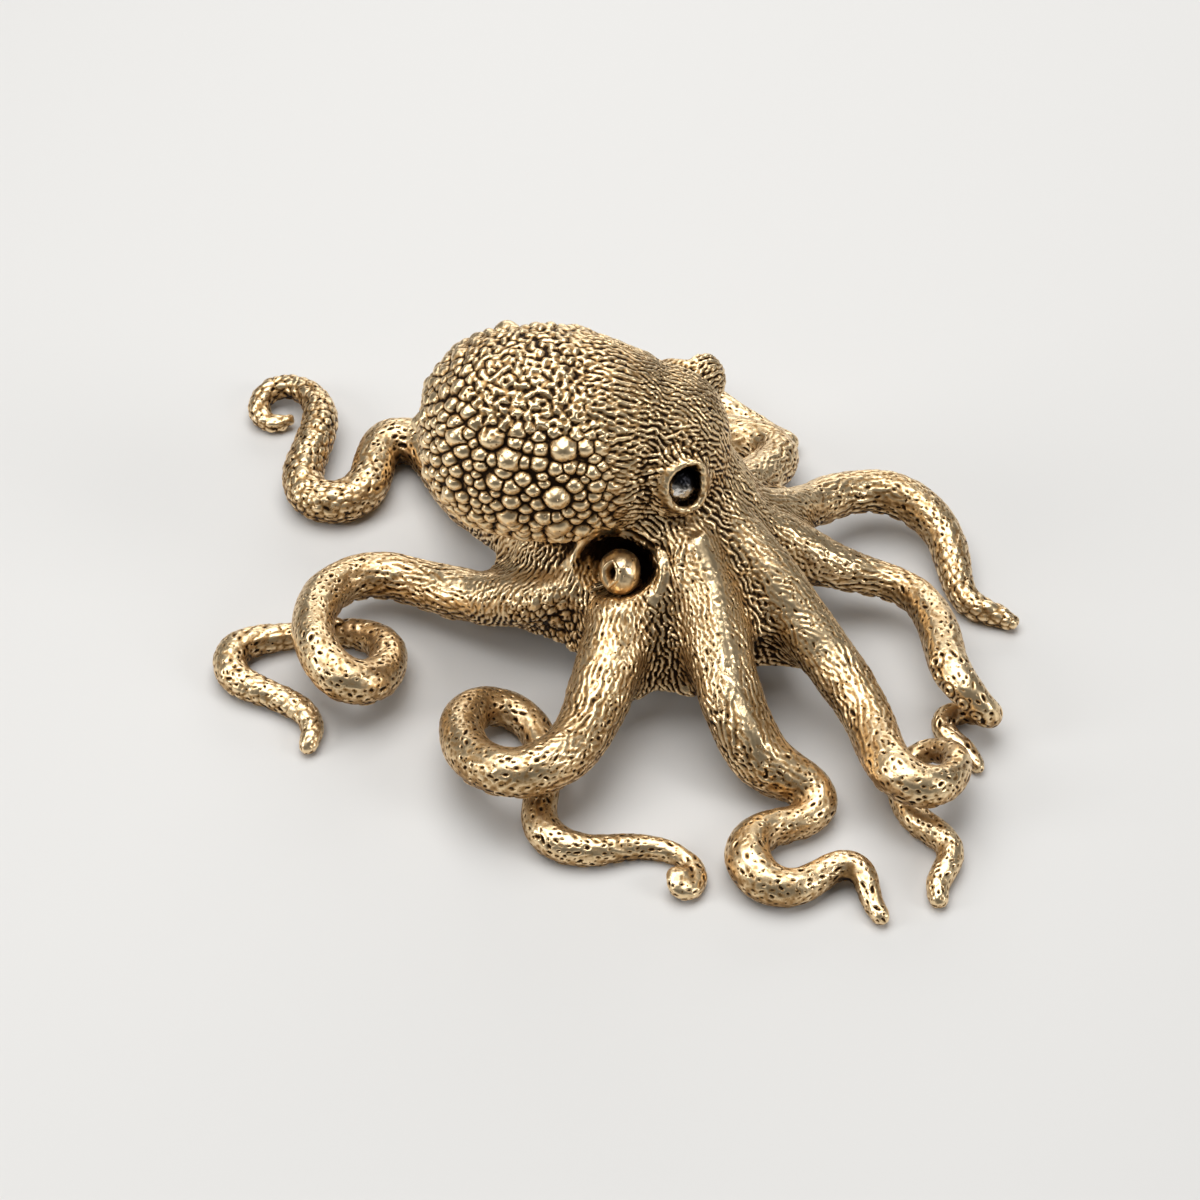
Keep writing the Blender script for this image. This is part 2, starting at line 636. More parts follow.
# Relief: every grain of the skin has its own place, direction and size
points = points_of(mesh)
normals = normals_of(mesh)
count = len(points)
shelter = np.empty(count, np.float32)
mesh.attributes["shelter"].data.foreach_get("value", shelter)
nearest, along, gap, ahead = arm_fields(points)
mantle_along, mantle_gap = mantle_fields(points)
joint_reached = along > 0
on_mantle = (mantle_gap < 0.45) & (mantle_along < MANTLE_LENGTH)
on_mantle &= ~((gap < 0.3) & joint_reached)
on_arm = (nearest >= 0) & joint_reached & ~on_mantle & (gap < 1.5)
arm_share = np.where(nearest >= 0, ramp(-3.0, 2.0, along) * (1 - ramp(0.4, 1.4, gap)), 0)
mantle_share = 1 - ramp(0.3, 1.1, mantle_gap)
mantle_share *= 1 - ramp(MANTLE_LENGTH - 4, MANTLE_LENGTH, mantle_along)
mantle_share *= 1 - np.where(joint_reached, 1 - ramp(0.3, 1.0, gap), 0)
arm_share *= 1 - mantle_share
body_share = 1 - mantle_share - arm_share

# The grain runs from the mantle over the head and down the web, then along an
# arm, and round the hollow it follows the lip
flow = unit(points - CROWN)
flow = np.where(arm_share[:, None] > 0.5, ahead, flow)
flow = np.where(on_mantle[:, None], MANTLE_AHEAD, flow)
from_recess = points - recess - ACROSS * BOWL_MIDDLE[0]
flat_away = from_recess - (from_recess @ TOWARD)[:, None] * TOWARD
recess_away = np.linalg.norm(flat_away, axis=1)
facing = (points - recess) @ TOWARD > -1.0
above_lip = facing * ramp(-1.5, 1.0, flat_away @ UPWARD) * (1 - ramp(5.0, 6.8, recess_away))
round_lip = np.cross(TOWARD, unit(flat_away))
round_lip *= np.sign(round_lip @ ACROSS)[:, None]
flow = flow * (1 - above_lip)[:, None] + round_lip * above_lip[:, None]
flow = unit(flow - normals * (flow * normals).sum(1)[:, None])
across = np.cross(normals, flow)

LATTICE = 32
lattice = DRAWS.random((LATTICE, LATTICE, LATTICE))


def noise(places, size):
    """Smooth noise from 0 to 1 with lumps of about this size."""
    scaled = places / size
    cell = np.floor(scaled).astype(int)
    t = scaled - cell
    t = t * t * (3 - 2 * t)
    total = np.zeros(len(places))
    for corner in range(8):
        bit = np.array((corner & 1, corner >> 1 & 1, corner >> 2 & 1))
        share = np.where(bit, t, 1 - t).prod(1)
        i, j, k = ((cell + bit) % LATTICE).T
        total += share * lattice[i, j, k]
    return total


tree = tree_of(points)


def scatter(where, length, width, reach, wander=0.0):
    """Seeds packed over the skin. Gives, for each pair of a seed and a point near it,
    the point, the seed's number, and how far the point lies along, beside and above
    the seed's own direction, as shares of its size. Then it gives the seeds."""
    order = DRAWS.permutation(np.flatnonzero(where))
    turns = DRAWS.uniform(-wander, wander, len(order))
    covered = ~where
    pairs, cells, runs, sides, rises, seeds = [], [], [], [], [], []
    for seed, turn in zip(order, turns):
        if covered[seed]:
            continue
        size = max(length[seed], width[seed]) * reach
        found = np.array([hit[1] for hit in tree.find_range(points[seed], size)])
        away = points[found] - points[seed]
        ahead_here = flow[seed] * math.cos(turn) + across[seed] * math.sin(turn)
        beside_here = across[seed] * math.cos(turn) - flow[seed] * math.sin(turn)
        run = away @ ahead_here / length[seed]
        sideways = away @ beside_here / width[seed]
        rise = away @ normals[seed] / width[seed]
        square = run**2 + sideways**2 + rise**2
        covered[found[square < 1]] = True
        close = square < reach * reach
        pairs.append(found[close])
        runs.append(run[close])
        sides.append(sideways[close])
        rises.append(rise[close])
        cells.append(np.full(close.sum(), len(seeds)))
        seeds.append(seed)
    joined = [np.concatenate(part) for part in (pairs, cells, runs, sides, rises)]
    return joined, np.array(seeds)


BEAD_REACH = 1.3


def beads(where, size, jitter):
    """Round grains packed side by side: 1 on top of each and 0 between them."""
    draw = DRAWS.random(count)
    sizes = size * (1 + jitter * (draw - 0.5) + jitter * np.where(draw > 0.95, 0.6, 0))
    (pairs, cells, runs, sides, rises), seeds = scatter(
        where, sizes * 1.12, sizes, BEAD_REACH
    )
    distances = np.sqrt(runs**2 + sides**2 + rises**2)
    order = np.lexsort((distances, pairs))
    pairs, cells, distances = pairs[order], cells[order], distances[order]
    first = np.flatnonzero(np.r_[True, pairs[1:] != pairs[:-1]])
    last = np.r_[first[1:], len(pairs)] - 1
    second = np.minimum(first + 1, last)
    near = np.full(count, BEAD_REACH)
    next_near = np.full(count, BEAD_REACH)
    cell = np.zeros(count, int)
    near[pairs[first]] = distances[first]
    next_near[pairs[first]] = np.where(second > first, distances[second], BEAD_REACH)
    cell[pairs[first]] = cells[first]
    usual = sizes[seeds] / np.median(sizes[seeds])
    height = (DRAWS.uniform(0.8, 1.1, len(seeds)) * usual)[cell]
    dome = np.clip(1 - (near / 0.78) ** 2, 0, 1) ** 0.9
    return dome * (0.42 + 0.58 * ramp(0.0, 0.17, next_near - near)) * height


def wrinkles(where, pitch, length, wander):
    """Ridges of this pitch that run along the grain and wander by an angle: 0 to 1."""
    width = np.full(count, 0.62 * pitch)
    (pairs, cells, runs, sides, rises), seeds = scatter(
        where, np.full(count, 0.6 * length), width, 2.1, wander
    )
    phase = DRAWS.uniform(0, 2 * math.pi, len(seeds))[cells]
    envelope = np.exp(-(runs**2 + sides**2 + rises**2) / 1.5)
    wave = np.cos(2 * math.pi * 0.62 * sides + phase) * envelope
    total = np.bincount(pairs, wave, count)
    energy = np.bincount(pairs, envelope**2, count)
    value = total / np.sqrt(0.5 * np.maximum(energy, 0.05))
    return 0.5 + 0.5 * np.tanh(1.3 * value)


# Which skin lies where. The mantle has beads on its flanks, which run together
# into worms on top and into fine lengthwise scales at the head
tip = MOUTH - MANTLE_AHEAD * MANTLE_LENGTH
mantle_out = unit(points - tip - mantle_along[:, None] * MANTLE_AHEAD)
upness = mantle_out[:, 2]
towards_head = mantle_along + 2.5 * noise(points + 7, 2.6) - 1.2 + 3.0 * upness
towards_head = ramp(14.0, 19.0, towards_head)
worm_share = ramp(0.55, 0.90, upness + 0.45 * noise(points + 3, 2.4) - 0.22)
worm_share *= 1 - 0.7 * (1 - ramp(1.0, 6.0, mantle_along))
worm_share *= (1 - 0.8 * towards_head) * 0.62
under_share = ramp(0.45, 0.85, -upness)
scale_share = (1 - worm_share) * np.maximum(towards_head, under_share)
bead_share = mantle_share * np.clip(1 - worm_share - scale_share, 0, 1)
scale_share *= mantle_share
worm_share *= mantle_share
for middle, out, forward, up in eye_frames:
    away = points - middle
    from_eye = distance_to(middle, points)
    brow = ramp(2.1, 2.7, from_eye) * (1 - ramp(3.6, 4.8, from_eye))
    brow *= ramp(-1.0, 1.2, away @ up - 0.8 * (away @ forward))
    bead_share = np.maximum(bead_share, 0.8 * brow * (1 - arm_share))

bead_size = 0.90 - 0.28 * towards_head - 0.20 * np.clip(body_share, 0, 1) - 0.24 * worm_share
bead_height = beads(bead_share > LEAST_SHARE, bead_size, 0.60)
worm_height = wrinkles(worm_share > LEAST_SHARE, 0.78, 0.60, math.pi)
scale_height = wrinkles(scale_share > LEAST_SHARE, 0.62, 0.80, 0.50)
fine_height = wrinkles(body_share > LEAST_SHARE, 0.50, 0.70, 0.60)
relief = BEAD_HIGH * bead_share * (bead_height - 0.50)
relief += WORM_HIGH * worm_share * (worm_height - 0.6)
relief += SCALE_HIGH * scale_share * (scale_height - 0.55)
relief -= DENT_DEEP * hump(distance_to(dent_place, points), 0, 1.5)

# The head and the web: fine lengthwise wrinkles, deep between two arms and
# faint on the crest that runs down to each arm
on_crest = (nearest >= 0) & (along < 3.0) & (normals[:, 2] > 0)
crest = np.where(on_crest, 1 - ramp(-0.5, 1.1, gap), 0)
crest *= 1 - ramp(15.0, 17.0, points[:, 2])
strength = 0.55 + 0.8 * noise(points + 11, 1.5)
strength *= (1 - 0.72 * crest) * (1 + 0.6 * above_lip)
relief += WRINKLE_HIGH * body_share * strength * (fine_height - 0.55)

# The bright ridge that runs from below the near eye down the front arm: places
# across and above the recess as seen from the front
RIDGE = [
    (5.7, 2.6), (5.9, 1.3), (7.1, -1.6), (7.8, -6.1), (8.7, -10.6), (10.2, -14.2),
    (12.3, -16.0),
]
across_front = (points - recess) @ ACROSS
up_front = (points - recess) @ UPWARD
ridge_gap = np.full(count, FAR)
ridge_share = np.zeros(count)
for step in range(len(RIDGE) - 1):
    start = np.array(RIDGE[step])
    leg = np.array(RIDGE[step + 1]) - start
    part = (across_front - start[0]) * leg[0] + (up_front - start[1]) * leg[1]
    part = np.clip(part / (leg @ leg), 0, 1)
    beside = across_front - start[0] - part * leg[0]
    gap_here = np.hypot(beside, up_front - start[1] - part * leg[1])
    closer = gap_here < ridge_gap
    ridge_gap[closer] = gap_here[closer]
    ridge_share[closer] = (step + part[closer]) / (len(RIDGE) - 1)
ridge = hump(ridge_gap, 0, 0.75) * ramp(0.05, 0.35, normals @ TOWARD)
ridge *= ramp(0.0, 0.12, ridge_share) * (1 - ramp(0.80, 1.0, ridge_share))
ridge *= nearest != arm_names.index("front_right_arm")
relief = relief * (1 - 0.75 * ridge) + BRIGHT_RIDGE_HIGH * ridge
crest = np.maximum(crest, ridge)

# Small beads in the web between the front left and the left arm
rough = body_share * (1 - ramp(2.5, 5.5, distance_to(SMALL_BEADS, points)))
small = beads(rough > LEAST_SHARE, np.full(count, 0.62), 0.7)
relief += rough * SMALL_BEAD_HIGH * (small - 0.5)
relief -= rough * 0.10 * strength * (fine_height - 0.55)

# The arms have a hammered skin, which turns scaly along three of them: where the
# scales begin, where they are in full, and their share there
SCALY = {
    "rear_left_arm": (12, 30, 1.0),
    "rear_right_arm": (8, 20, 1.0),
    "left_arm": (18, 50, 0.6),
}
coil = np.zeros(count)
for name, (begin, full, most) in SCALY.items():
    here = nearest == arm_names.index(name)
    coil[here] = most * ramp(begin, full, along[here])
coil *= arm_share
hammered = wrinkles(arm_share > LEAST_SHARE, 0.95, 1.3, 0.9)
relief += arm_share * (0.015 + 0.05 * noise(points + 5, 2.2) ** 2) * (hammered - 0.5)
root = arm_share * (1 - ramp(5.0, 15.0, along))
root_height = wrinkles(root > LEAST_SHARE, 0.58, 0.75, 0.50) - 0.55
relief += ARM_RIDGE_HIGH * root * (0.4 + 0.9 * noise(points + 21, 1.8)) * root_height
scales = beads(coil > 0.05, np.full(count, 0.62), 0.4)
relief += COIL_SCALE_HIGH * coil * (scales - 0.6)

# Pits of every size, drawn out along the grain
pit_room = 0.32 + 0.32 * noise(points, 2.5) ** 2
(pairs, cells, runs, sides, rises), seeds = scatter(
    mantle_share < 0.5, pit_room * 1.6, pit_room, 0.95, 0.7
)
pit_depth = DRAWS.random(len(seeds)) ** 1.3
pit_wide = 0.24 + 0.28 * DRAWS.random(len(seeds)) ** 3
pit_long = pit_wide * DRAWS.uniform(0.7, 1.6, len(seeds))
square = (sides**2 + rises**2) / pit_wide[cells] ** 2 + runs**2 / pit_long[cells] ** 2
pit = np.zeros(count)
np.maximum.at(pit, pairs, np.clip(1 - square, 0, 1) * pit_depth[cells])
pit *= 1 - 0.65 * ramp(0.50, 0.90, normals[:, 2]) * (1 - ramp(8, 14, along) * arm_share)
relief -= pit * (ARM_PIT_DEEP * arm_share * (1 - 0.6 * coil) + BODY_PIT_DEEP * body_share)

# Broad hammered unevenness
relief += (noise(points, 1.6) - 0.5) * 0.10
relief += (noise(points + 40, 3.4) - 0.5) * (0.18 + 0.12 * mantle_share)

# Rings of suckers in two rows on the underside of every arm. The right arm turns
# some of them to the front, and only one row of them shows
sucker = np.zeros(count)
sucker_mask = np.zeros(count)
for name, route in routes.items():
    place_along = 1.5
    row = 1
    while place_along < route.length - 0.8:
        place, forward, arm_radius = route.at(place_along)
        down = np.array((0.0, 0.0, -1.0))
        turned = 0.0
        if name == "right_arm":
            turned = ramp(18, 20, place_along) * (1 - ramp(25, 27, place_along))
            down = unit(down * (1 - turned) + np.array((-0.35, -0.72, 0.40)) * turned)
        down = unit(down - forward * (down @ forward))
        beside = np.cross(forward, down)
        row = -row
        lean = SUCKER_LEAN * row
        centre = place + (down * math.cos(lean) + beside * math.sin(lean)) * arm_radius
        size = (SUCKER_SHARE if turned < 0.2 else FRONT_SUCKER_SHARE) * arm_radius
        found = np.array([hit[1] for hit in tree.find_range(centre, size * 1.5)], int)
        if len(found) and (turned < 0.8 or row > 0):
            share = distance_to(centre, points[found]) / size
            ring = hump(share, 0.72, 0.24) - 0.9 * hump(share, 0, 0.42)
            ring -= 0.5 * hump(share, 1.3, 0.22)
            sucker[found] += ring * size * (0.16 + 0.16 * turned)
            sucker_mask[found] = np.maximum(sucker_mask[found], 1 - ramp(0.9, 1.4, share))
        place_along += SUCKER_PITCH * size
relief = relief * (1 - 0.8 * sucker_mask) + sucker

# The rims of the eyes, the lip and the inside of the hollow stay smooth
smooth_here = np.zeros(count)
for eye, *_ in eye_frames:
    smooth_here = np.maximum(smooth_here, 1 - ramp(2.25, 2.75, distance_to(eye, points)))
away = points - recess
in_bowl = 1 - ramp(0.75, 1.05, np.hypot(*bowl_shares(away)))
in_bowl *= (away @ TOWARD > -4.5) & (away @ TOWARD < 4)
in_bowl *= ramp(-1.0, 1.0, away @ UPWARD + 0.5 * (away @ ACROSS) + 1.2)
smooth_here = np.maximum(smooth_here, in_bowl)
lip_gap = np.full(count, FAR)
for start, end in zip(lip_places, lip_places[1:]):
    leg = end - start
    part = np.clip((points - start) @ leg / (leg @ leg), 0, 1)
    lip_gap = np.minimum(lip_gap, distance_to(start + part[:, None] * leg, points))
on_lip = 1 - ramp(0.45, 0.70, lip_gap)
groove = hump(lip_gap, 0.85, 0.28) * (1 - in_bowl) * ramp(-1.5, 1.5, away @ UPWARD)
smooth_here = np.maximum(smooth_here, on_lip)
relief *= 1 - 0.85 * smooth_here
relief -= GROOVE_DEEP * groove

shaped = points + normals * relief[:, None]
shaped[:, 2] = np.maximum(shaped[:, 2], 0)
put_points(mesh, shaped)

# How far each point stands out of the surface around it, for the patina
level = levelled(mesh, shaped, 14)
shape_normals = normals_of(mesh)
proud = ((shaped - level) * shape_normals).sum(1)
polish = 0.52 + proud / 0.15 - 0.30 * ramp(0.0, 0.6, shelter) + 0.14 * crest
polish += 0.05 * arm_share - 0.5 * pit * (1 - mantle_share)
steep = 1 - ramp(-0.3, 0.65, shape_normals[:, 2])
polish -= 0.24 * steep * (1 - 0.6 * mantle_share)
polish += 0.40 * on_lip - 0.25 * groove
polish = np.clip(polish - 0.45 * in_bowl * (1 - on_lip), 0, 1)

# Cut into one closed piece for each casting, the body in two
quads = quads_of(mesh)
WEB, HEAD_CAP, MANTLE, FIRST_ARM = range(4)
PIECES = ["web", "head", "mantle"] + arm_names
STANDS_FOR = {"web": "head_and_web", "head": "head_and_web"}
HEAD_ABOVE = 9.5
CAP_POLISH = 0.3
in_head = points[quads, 2].mean(1) > HEAD_ABOVE
on_arm_face = on_arm[quads].mean(1) > 0.5
face_piece = np.where(in_head, HEAD_CAP, WEB)
face_piece[on_arm_face] = FIRST_ARM + nearest[quads[on_arm_face, 0]]
face_piece[on_mantle[quads].mean(1) > 0.5] = MANTLE


def largest_part(chosen):
    """Of these faces, a mask of those in the largest connected part."""
    numbers = np.flatnonzero(chosen)
    corners = quads[numbers]
    parent = np.arange(count)
    sides = np.vstack([corners[:, [i, (i + 1) % 4]] for i in range(4)])
    while True:
        a, b = parent[sides[:, 0]], parent[sides[:, 1]]
        low, high = np.minimum(a, b), np.maximum(a, b)
        if (low == high).all():
            break
        np.minimum.at(parent, high, low)
        parent = parent[parent]
        parent = parent[parent]
    owner = parent[corners[:, 0]]
    names, sizes = np.unique(owner, return_counts=True)
    keep = owner == names[sizes.argmax()]
    mask = np.zeros(len(quads), bool)
    mask[numbers[keep]] = True
    return mask


for number in range(HEAD_CAP, len(PIECES)):
    chosen = face_piece == number
    stray = chosen & ~largest_part(chosen)
    face_piece[stray] = np.where(in_head[stray] & (number > HEAD_CAP), HEAD_CAP, WEB)

# The hollow under the web is finished less finely: its four small faces in a
# square are one large face
web_patches = (face_piece == WEB).reshape(-1, 4).all(1)
web_edge = np.unique(quads[face_piece != WEB])
patch_quads = quads.reshape(-1, 4, 4)
looking_down = (shape_normals[coarse_quads][:, :, 2] < -0.25).all(1)
plain_patch = web_patches & looking_down & ~np.isin(patch_quads, web_edge).any((1, 2))
plain_face = np.repeat(plain_patch, 4)


def large_faces(kept_points):
    """The large faces of the hollow, with their side points where small faces meet them."""
    faces = []
    patches = zip(patch_quads[plain_patch].tolist(), coarse_quads[plain_patch].tolist())
    for patch, corners in patches:
        side_point = {}
        for face in patch:
            for point, following in zip(face, face[1:] + face[:1]):
                side_point[point] = following
        large = []
        for corner in corners:
            large.append(corner)
            if side_point[corner] in kept_points:
                large.append(side_point[corner])
        faces.append(large)
    return faces


def opening_rings(open_sides):
    """The points round each opening, in their order."""
    onward = {}
    for a, b in open_sides.tolist():
        onward.setdefault(a, []).append(b)
    rings = []
    while onward:
        ring = [next(iter(onward))]
        while True:
            following = onward[ring[-1]].pop()
            if not onward[ring[-1]]:
                del onward[ring[-1]]
            if following == ring[0]:
                break
            ring.append(following)
        rings.append(ring)
    return rings


def cut_out(name, chosen):
    """These faces of the casting as a piece of their own, its openings closed."""
    faces = quads[chosen & ~plain_face]
    large = []
    if (chosen & plain_face).any():
        large = large_faces(set(faces.ravel().tolist()))
    large_points = [point for face in large for point in face]
    every_point = np.r_[faces.ravel(), large_points].astype(int)
    used, flat = np.unique(every_point, return_inverse=True)
    numbered = iter(flat[faces.size:].tolist())
    large = [[next(numbered) for _ in face] for face in large]
    faces = flat[:faces.size].reshape(-1, 4)
    sides = [faces[:, [i, (i + 1) % 4]] for i in range(4)]
    sides += [np.array(list(zip(face, face[1:] + face[:1]))) for face in large]
    sides = np.vstack(sides)
    codes = sides[:, 0] * len(used) + sides[:, 1]
    back = sides[:, 1] * len(used) + sides[:, 0]

    places, directions, caps = [shaped[used]], [shape_normals[used]], []
    rings = opening_rings(sides[~np.isin(codes, back)])
    for middle, ring in enumerate(rings, len(used)):
        places.append(shaped[used[ring]].mean(0)[None])
        directions.append(shape_normals[used[ring]].mean(0)[None])
        caps += [(b, a, middle) for a, b in zip(ring, ring[1:] + ring[:1])]
    piece_mesh = bpy.data.meshes.new(name)
    piece_places = np.vstack(places) * MILLIMETRE
    piece_mesh.from_pydata(piece_places.tolist(), [], faces.tolist() + large + caps)
    cap_polish = np.full(len(rings), CAP_POLISH)
    give_values(piece_mesh, "polish", np.r_[polish[used], cap_polish])
    piece_mesh.update()
    piece_mesh.shade_smooth()
    directions = unit(np.vstack(directions))
    piece_mesh.normals_split_custom_set_from_vertices(directions.tolist())
    return new_object(name, piece_mesh)


skins = {}
for number, name in enumerate(PIECES):
    skins[name] = cut_out(name + "_cast", face_piece == number)
bpy.data.objects.remove(casting)


def new_ball(name):
    """A fine ball of radius 1, and the direction of each of its points."""
    bpy.ops.mesh.primitive_ico_sphere_add(subdivisions=6, radius=1.0, location=(0, 0, 0))
    ball = bpy.context.object
    ball.name = name
    return ball, unit(points_of(ball.data))


def finish_ball(ball, places, finish):
    put_points(ball.data, places * MILLIMETRE)
    give_values(ball.data, "polish", np.clip(finish, 0, 1))
    ball.data.shade_smooth()
    return ball


# The siphon: a smooth ball with a long mouth, on a neck that goes into the hollow
def siphon_nozzle():
    mouth = unit(-0.50 * ACROSS - 0.12 * UPWARD + 0.82 * TOWARD)
    tall = UPWARD + 0.25 * ACROSS
    tall = unit(tall - mouth * (tall @ mouth))
    wide = np.cross(tall, mouth)
    middle = recess - 0.53 * ACROSS - 0.73 * UPWARD + 0.7 * TOWARD
    ball, rays = new_ball("siphon_nozzle")
    in_front = rays @ mouth > 0
    beside_mouth = np.where(in_front, rays @ wide, FAR)
    above_mouth = np.where(in_front, rays @ tall, FAR)
    almond = np.abs(beside_mouth) / 0.30 + (above_mouth / 0.52) ** 2
    size = 1.72 + 0.22 * np.maximum(-(rays @ UPWARD), 0) ** 3
    size += 0.10 * np.abs(rays @ UPWARD)
    size += 0.16 * hump(almond, 1.35, 0.30)
    size -= np.sqrt(np.clip(1 - almond, 0, 1))
    size += 0.10 * (noise(rays * 3 + 20, 1.6) - 0.5)
    size += 0.05 * (noise(rays * 3 + 9, 0.6) - 0.5)
    back = np.maximum(-(rays @ TOWARD), 0)
    places = middle + rays * size[:, None] - TOWARD * (2.4 * back**2)[:, None]
    finish = 0.80 - 0.85 * ramp(-0.1, 0.9, 1.2 - almond) - 0.6 * back**2
    finish += 0.25 * (noise(rays * 3, 0.9) - 0.5)
    return finish_ball(ball, places, finish)


nozzle = siphon_nozzle()


# The eyes: a dark ball with shallow dents, polished at its lower back, and set
# this deep in its socket
def eye_ball(name, place, deep):
    middle, out, forward, up = place
    centre = middle - out * deep - forward * 0.10 - up * 0.10
    ball, rays = new_ball(name)
    size = 1.62 + 0.10 * (noise(rays * 4 + 31, 1.3) - 0.5)
    size += 0.05 * (noise(rays * 4 + 17, 0.55) - 0.5)
    lower = -(rays @ up) - 0.6 * (rays @ forward)
    finish = 0.12 + 0.95 * ramp(-0.45, 0.35, lower) * (0.45 + noise(rays * 4 + 3, 0.8))
    return finish_ball(ball, centre + rays * size[:, None], finish)


eyes = {
    "front_eye": eye_ball("front_eye_ball", eye_frames[0], 1.55),
    "rear_eye": eye_ball("rear_eye_ball", eye_frames[1], 1.10),
}


# Materials
def worn_metal_group():
    """Patina in the hollows and polish on the high places, with small pits."""
    group = bpy.data.node_groups.new("Worn metal", "ShaderNodeTree")
    face = group.interface
    for label, kind in (
        ("Polish", "Float"), ("Patina", "Color"), ("Bronze", "Color"), ("Bright", "Color"),
        ("Dull roughness", "Float"), ("Bright roughness", "Float"), ("Pitting", "Float"),
    ):
        face.new_socket(label, in_out="INPUT", socket_type="NodeSocket" + kind)
    for label, kind in (("Colour", "Color"), ("Roughness", "Float"), ("Height", "Float")):
        face.new_socket(label, in_out="OUTPUT", socket_type="NodeSocket" + kind)
    nodes, links = group.nodes, group.links
    taken = nodes.new("NodeGroupInput")
    given = nodes.new("NodeGroupOutput")
    place = nodes.new("ShaderNodeTexCoord")

    def texture(kind, scale, **settings):
        node = nodes.new(kind)
        node.inputs["Scale"].default_value = scale
        for name, value in settings.items():
            node.inputs[name].default_value = value
        links.new(place.outputs["Object"], node.inputs["Vector"])
        return node

    def maths(operation, first, second):
        node = nodes.new("ShaderNodeMath")
        node.operation = operation
        for socket, value in zip(node.inputs, (first, second)):
            if isinstance(value, (int, float)):
                socket.default_value = value
            else:
                links.new(value, socket)
        return node.outputs[0]

    def spread(value, low, high, kind="LINEAR", ends=(0.0, 1.0)):
        node = nodes.new("ShaderNodeMapRange")
        node.interpolation_type = kind
        labels = ("From Min", "From Max", "To Min", "To Max")
        for label, number in zip(labels, (low, high, *ends)):
            node.inputs[label].default_value = number
        links.new(value, node.inputs["Value"])
        return node.outputs["Result"]

    def mix(kind, share, first, second):
        node = nodes.new("ShaderNodeMix")
        node.data_type = kind
        place_of_first = 6 if kind == "RGBA" else 2
        links.new(share, node.inputs[0])
        links.new(first, node.inputs[place_of_first])
        links.new(second, node.inputs[place_of_first + 1])
        return node.outputs[2 if kind == "RGBA" else 0]

    hammer = texture("ShaderNodeTexNoise", 2200.0, Detail=2.5, Roughness=0.55)
    clouds = texture("ShaderNodeTexNoise", 240.0, Detail=2.0)
    pores = texture("ShaderNodeTexVoronoi", 2200.0, Randomness=1.0)
    patches = texture("ShaderNodeTexNoise", 900.0, Detail=1.0)
    pore = spread(pores.outputs["Distance"], 0.10, 0.26, ends=(1.0, 0.0))
    some_pores = maths("MULTIPLY", pore, spread(patches.outputs["Fac"], 0.43, 0.56))
    pit_amount = maths("MULTIPLY", some_pores, taken.outputs["Pitting"])
    uneven = maths("MULTIPLY", maths("SUBTRACT", hammer.outputs["Fac"], 0.5), 0.55)
    cloudy = maths("MULTIPLY", maths("SUBTRACT", clouds.outputs["Fac"], 0.5), 0.35)
    level = maths("ADD", maths("ADD", taken.outputs["Polish"], uneven), cloudy)
    level = maths("SUBTRACT", level, maths("MULTIPLY", pit_amount, 0.45))
    low = spread(level, 0.16, 0.50, "SMOOTHSTEP")
    high = spread(level, 0.44, 0.76, "SMOOTHSTEP")
    darker = mix("RGBA", low, taken.outputs["Patina"], taken.outputs["Bronze"])
    colour = mix("RGBA", high, darker, taken.outputs["Bright"])
    links.new(colour, given.inputs["Colour"])
    dull, shiny = taken.outputs["Dull roughness"], taken.outputs["Bright roughness"]
    links.new(mix("FLOAT", high, dull, shiny), given.inputs["Roughness"])
    height = maths("SUBTRACT", hammer.outputs["Fac"], maths("MULTIPLY", pit_amount, 0.9))
    links.new(height, given.inputs["Height"])
    return group


worn_metal = worn_metal_group()


def metal(name, patina, bronze, bright, dull, shiny, pitting, bump):
    material = bpy.data.materials.new(name)
    material.use_nodes = True
    nodes, links = material.node_tree.nodes, material.node_tree.links
    shader = nodes["Principled BSDF"]
    shader.inputs["Metallic"].default_value = 1.0
    polish_node = nodes.new("ShaderNodeAttribute")
    polish_node.attribute_name = "polish"
    worn = nodes.new("ShaderNodeGroup")
    worn.node_tree = worn_metal
    for label, value in {
        "Patina": (*patina, 1), "Bronze": (*bronze, 1), "Bright": (*bright, 1),
        "Dull roughness": dull, "Bright roughness": shiny, "Pitting": pitting,
    }.items():
        worn.inputs[label].default_value = value
    links.new(polish_node.outputs["Fac"], worn.inputs["Polish"])
    links.new(worn.outputs["Colour"], shader.inputs["Base Color"])
    links.new(worn.outputs["Roughness"], shader.inputs["Roughness"])
    relief_node = nodes.new("ShaderNodeBump")
    relief_node.inputs["Strength"].default_value = 1.0
    relief_node.inputs["Distance"].default_value = bump
    links.new(worn.outputs["Height"], relief_node.inputs["Height"])
    links.new(relief_node.outputs["Normal"], shader.inputs["Normal"])
    return material


brass = metal(
    "Antique brass",
    (0.024, 0.013, 0.007), (0.42, 0.245, 0.095), (0.97, 0.74, 0.44),
    0.50, 0.29, 1.0, 0.000035,
)
dark_metal = metal(
    "Dark eye metal",
    (0.012, 0.012, 0.014), (0.16, 0.145, 0.13), (0.88, 0.84, 0.78),
    0.30, 0.24, 0.5, 0.00003,
)

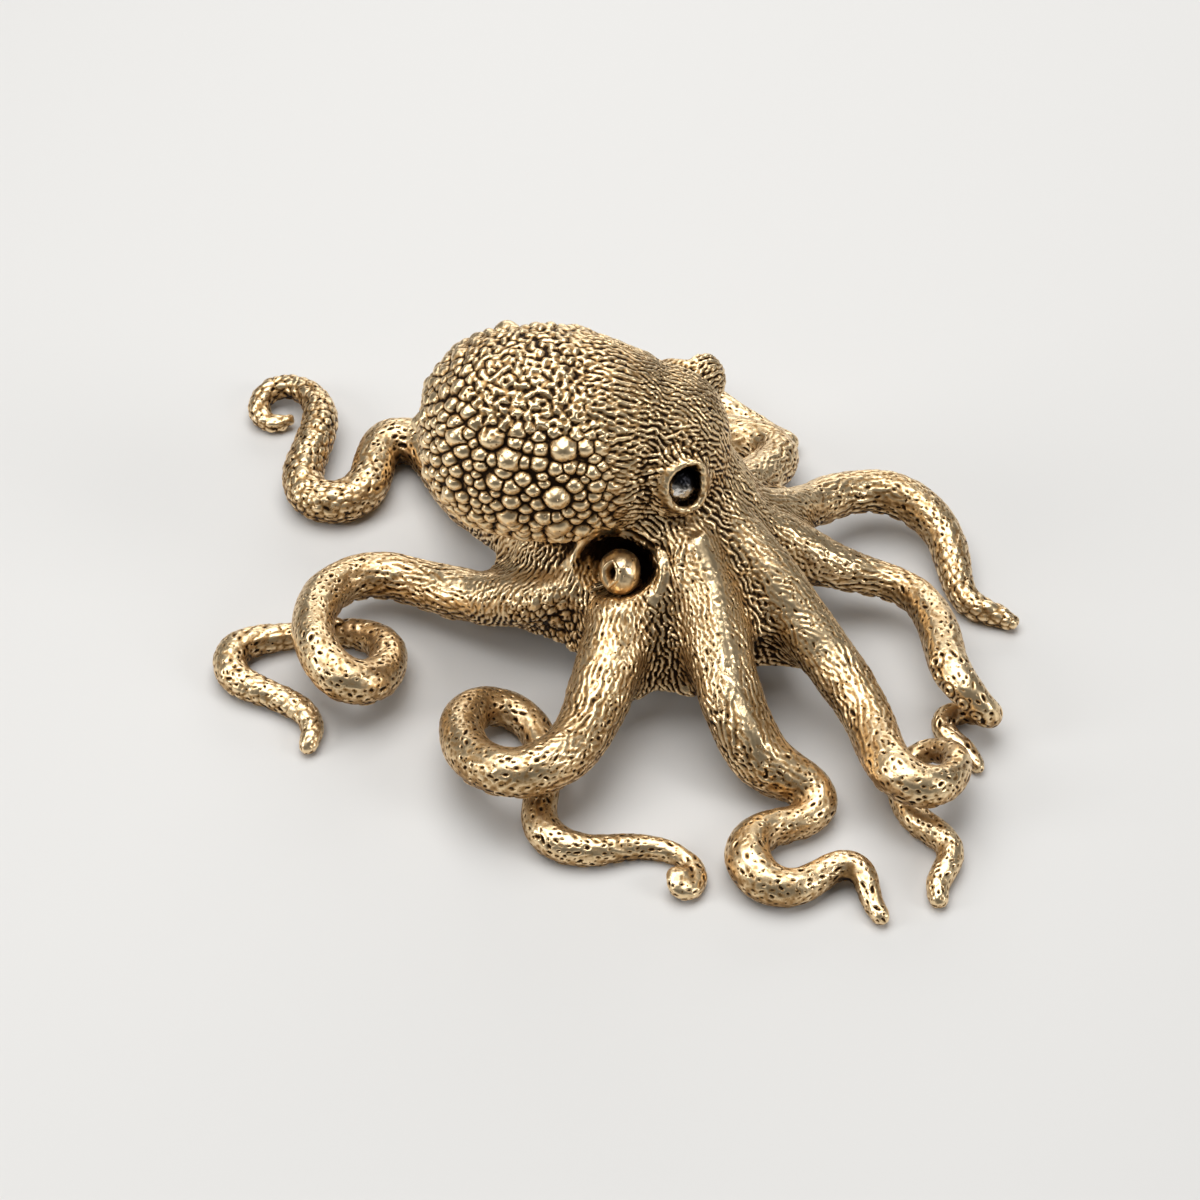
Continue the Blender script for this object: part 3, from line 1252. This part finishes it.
for name, piece in skins.items():
    piece.data.materials.append(brass)
    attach(piece, "root")
    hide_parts(STANDS_FOR.get(name, name))
nozzle.data.materials.append(brass)
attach(nozzle, "root")
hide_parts("siphon")
for name, piece in eyes.items():
    piece.data.materials.append(dark_metal)
    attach(piece, "root")
    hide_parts(name)

# The stage: a pale floor, soft lights and the camera
bpy.ops.mesh.primitive_plane_add(size=4.0)
floor = bpy.context.object
floor.name = "floor"
paper = bpy.data.materials.new("Paper")
paper.use_nodes = True
paper_shader = paper.node_tree.nodes["Principled BSDF"]
paper_shader.inputs["Base Color"].default_value = (0.72, 0.71, 0.69, 1)
floor.data.materials.append(paper)

world = bpy.data.worlds.new("Studio")
bpy.context.scene.world = world
world.use_nodes = True
sky = world.node_tree.nodes["Background"]
sky.inputs["Color"].default_value = (0.9, 0.9, 0.9, 1)
sky.inputs["Strength"].default_value = 0.14

LAMPS_AIM = Vector((0, 0, 0.01))


def lamp(name, place, size, power):
    light = bpy.data.lights.new(name, "AREA")
    light.shape = "RECTANGLE"
    light.size = size[0]
    light.size_y = size[1]
    light.energy = power
    holder = bpy.data.objects.new(name, light)
    bpy.context.scene.collection.objects.link(holder)
    holder.location = place
    holder.rotation_euler = (LAMPS_AIM - Vector(place)).to_track_quat("-Z", "Y").to_euler()


lamp("key", (-0.04, 0.06, 0.36), (0.42, 0.32), 1.35)
lamp("left", (-0.36, -0.10, 0.20), (0.14, 0.18), 0.42)
lamp("right", (0.36, -0.14, 0.22), (0.14, 0.18), 0.42)
lamp("back", (0.06, 0.44, 0.17), (0.42, 0.14), 0.50)

ELEVATION = math.radians(46)
TARGET = Vector((-0.0015, 0.0043, 0))
DISTANCE = 0.290
camera_data = bpy.data.cameras.new("camera")
camera_data.lens = 100.9
camera_data.sensor_width = 36
camera = bpy.data.objects.new("camera", camera_data)
bpy.context.scene.collection.objects.link(camera)
away = Vector((0, -math.cos(ELEVATION), math.sin(ELEVATION)))
camera.location = TARGET + away * DISTANCE
camera.rotation_euler = (-away).to_track_quat("-Z", "Y").to_euler()
bpy.context.scene.camera = camera
bpy.context.scene.view_settings.view_transform = "Standard"
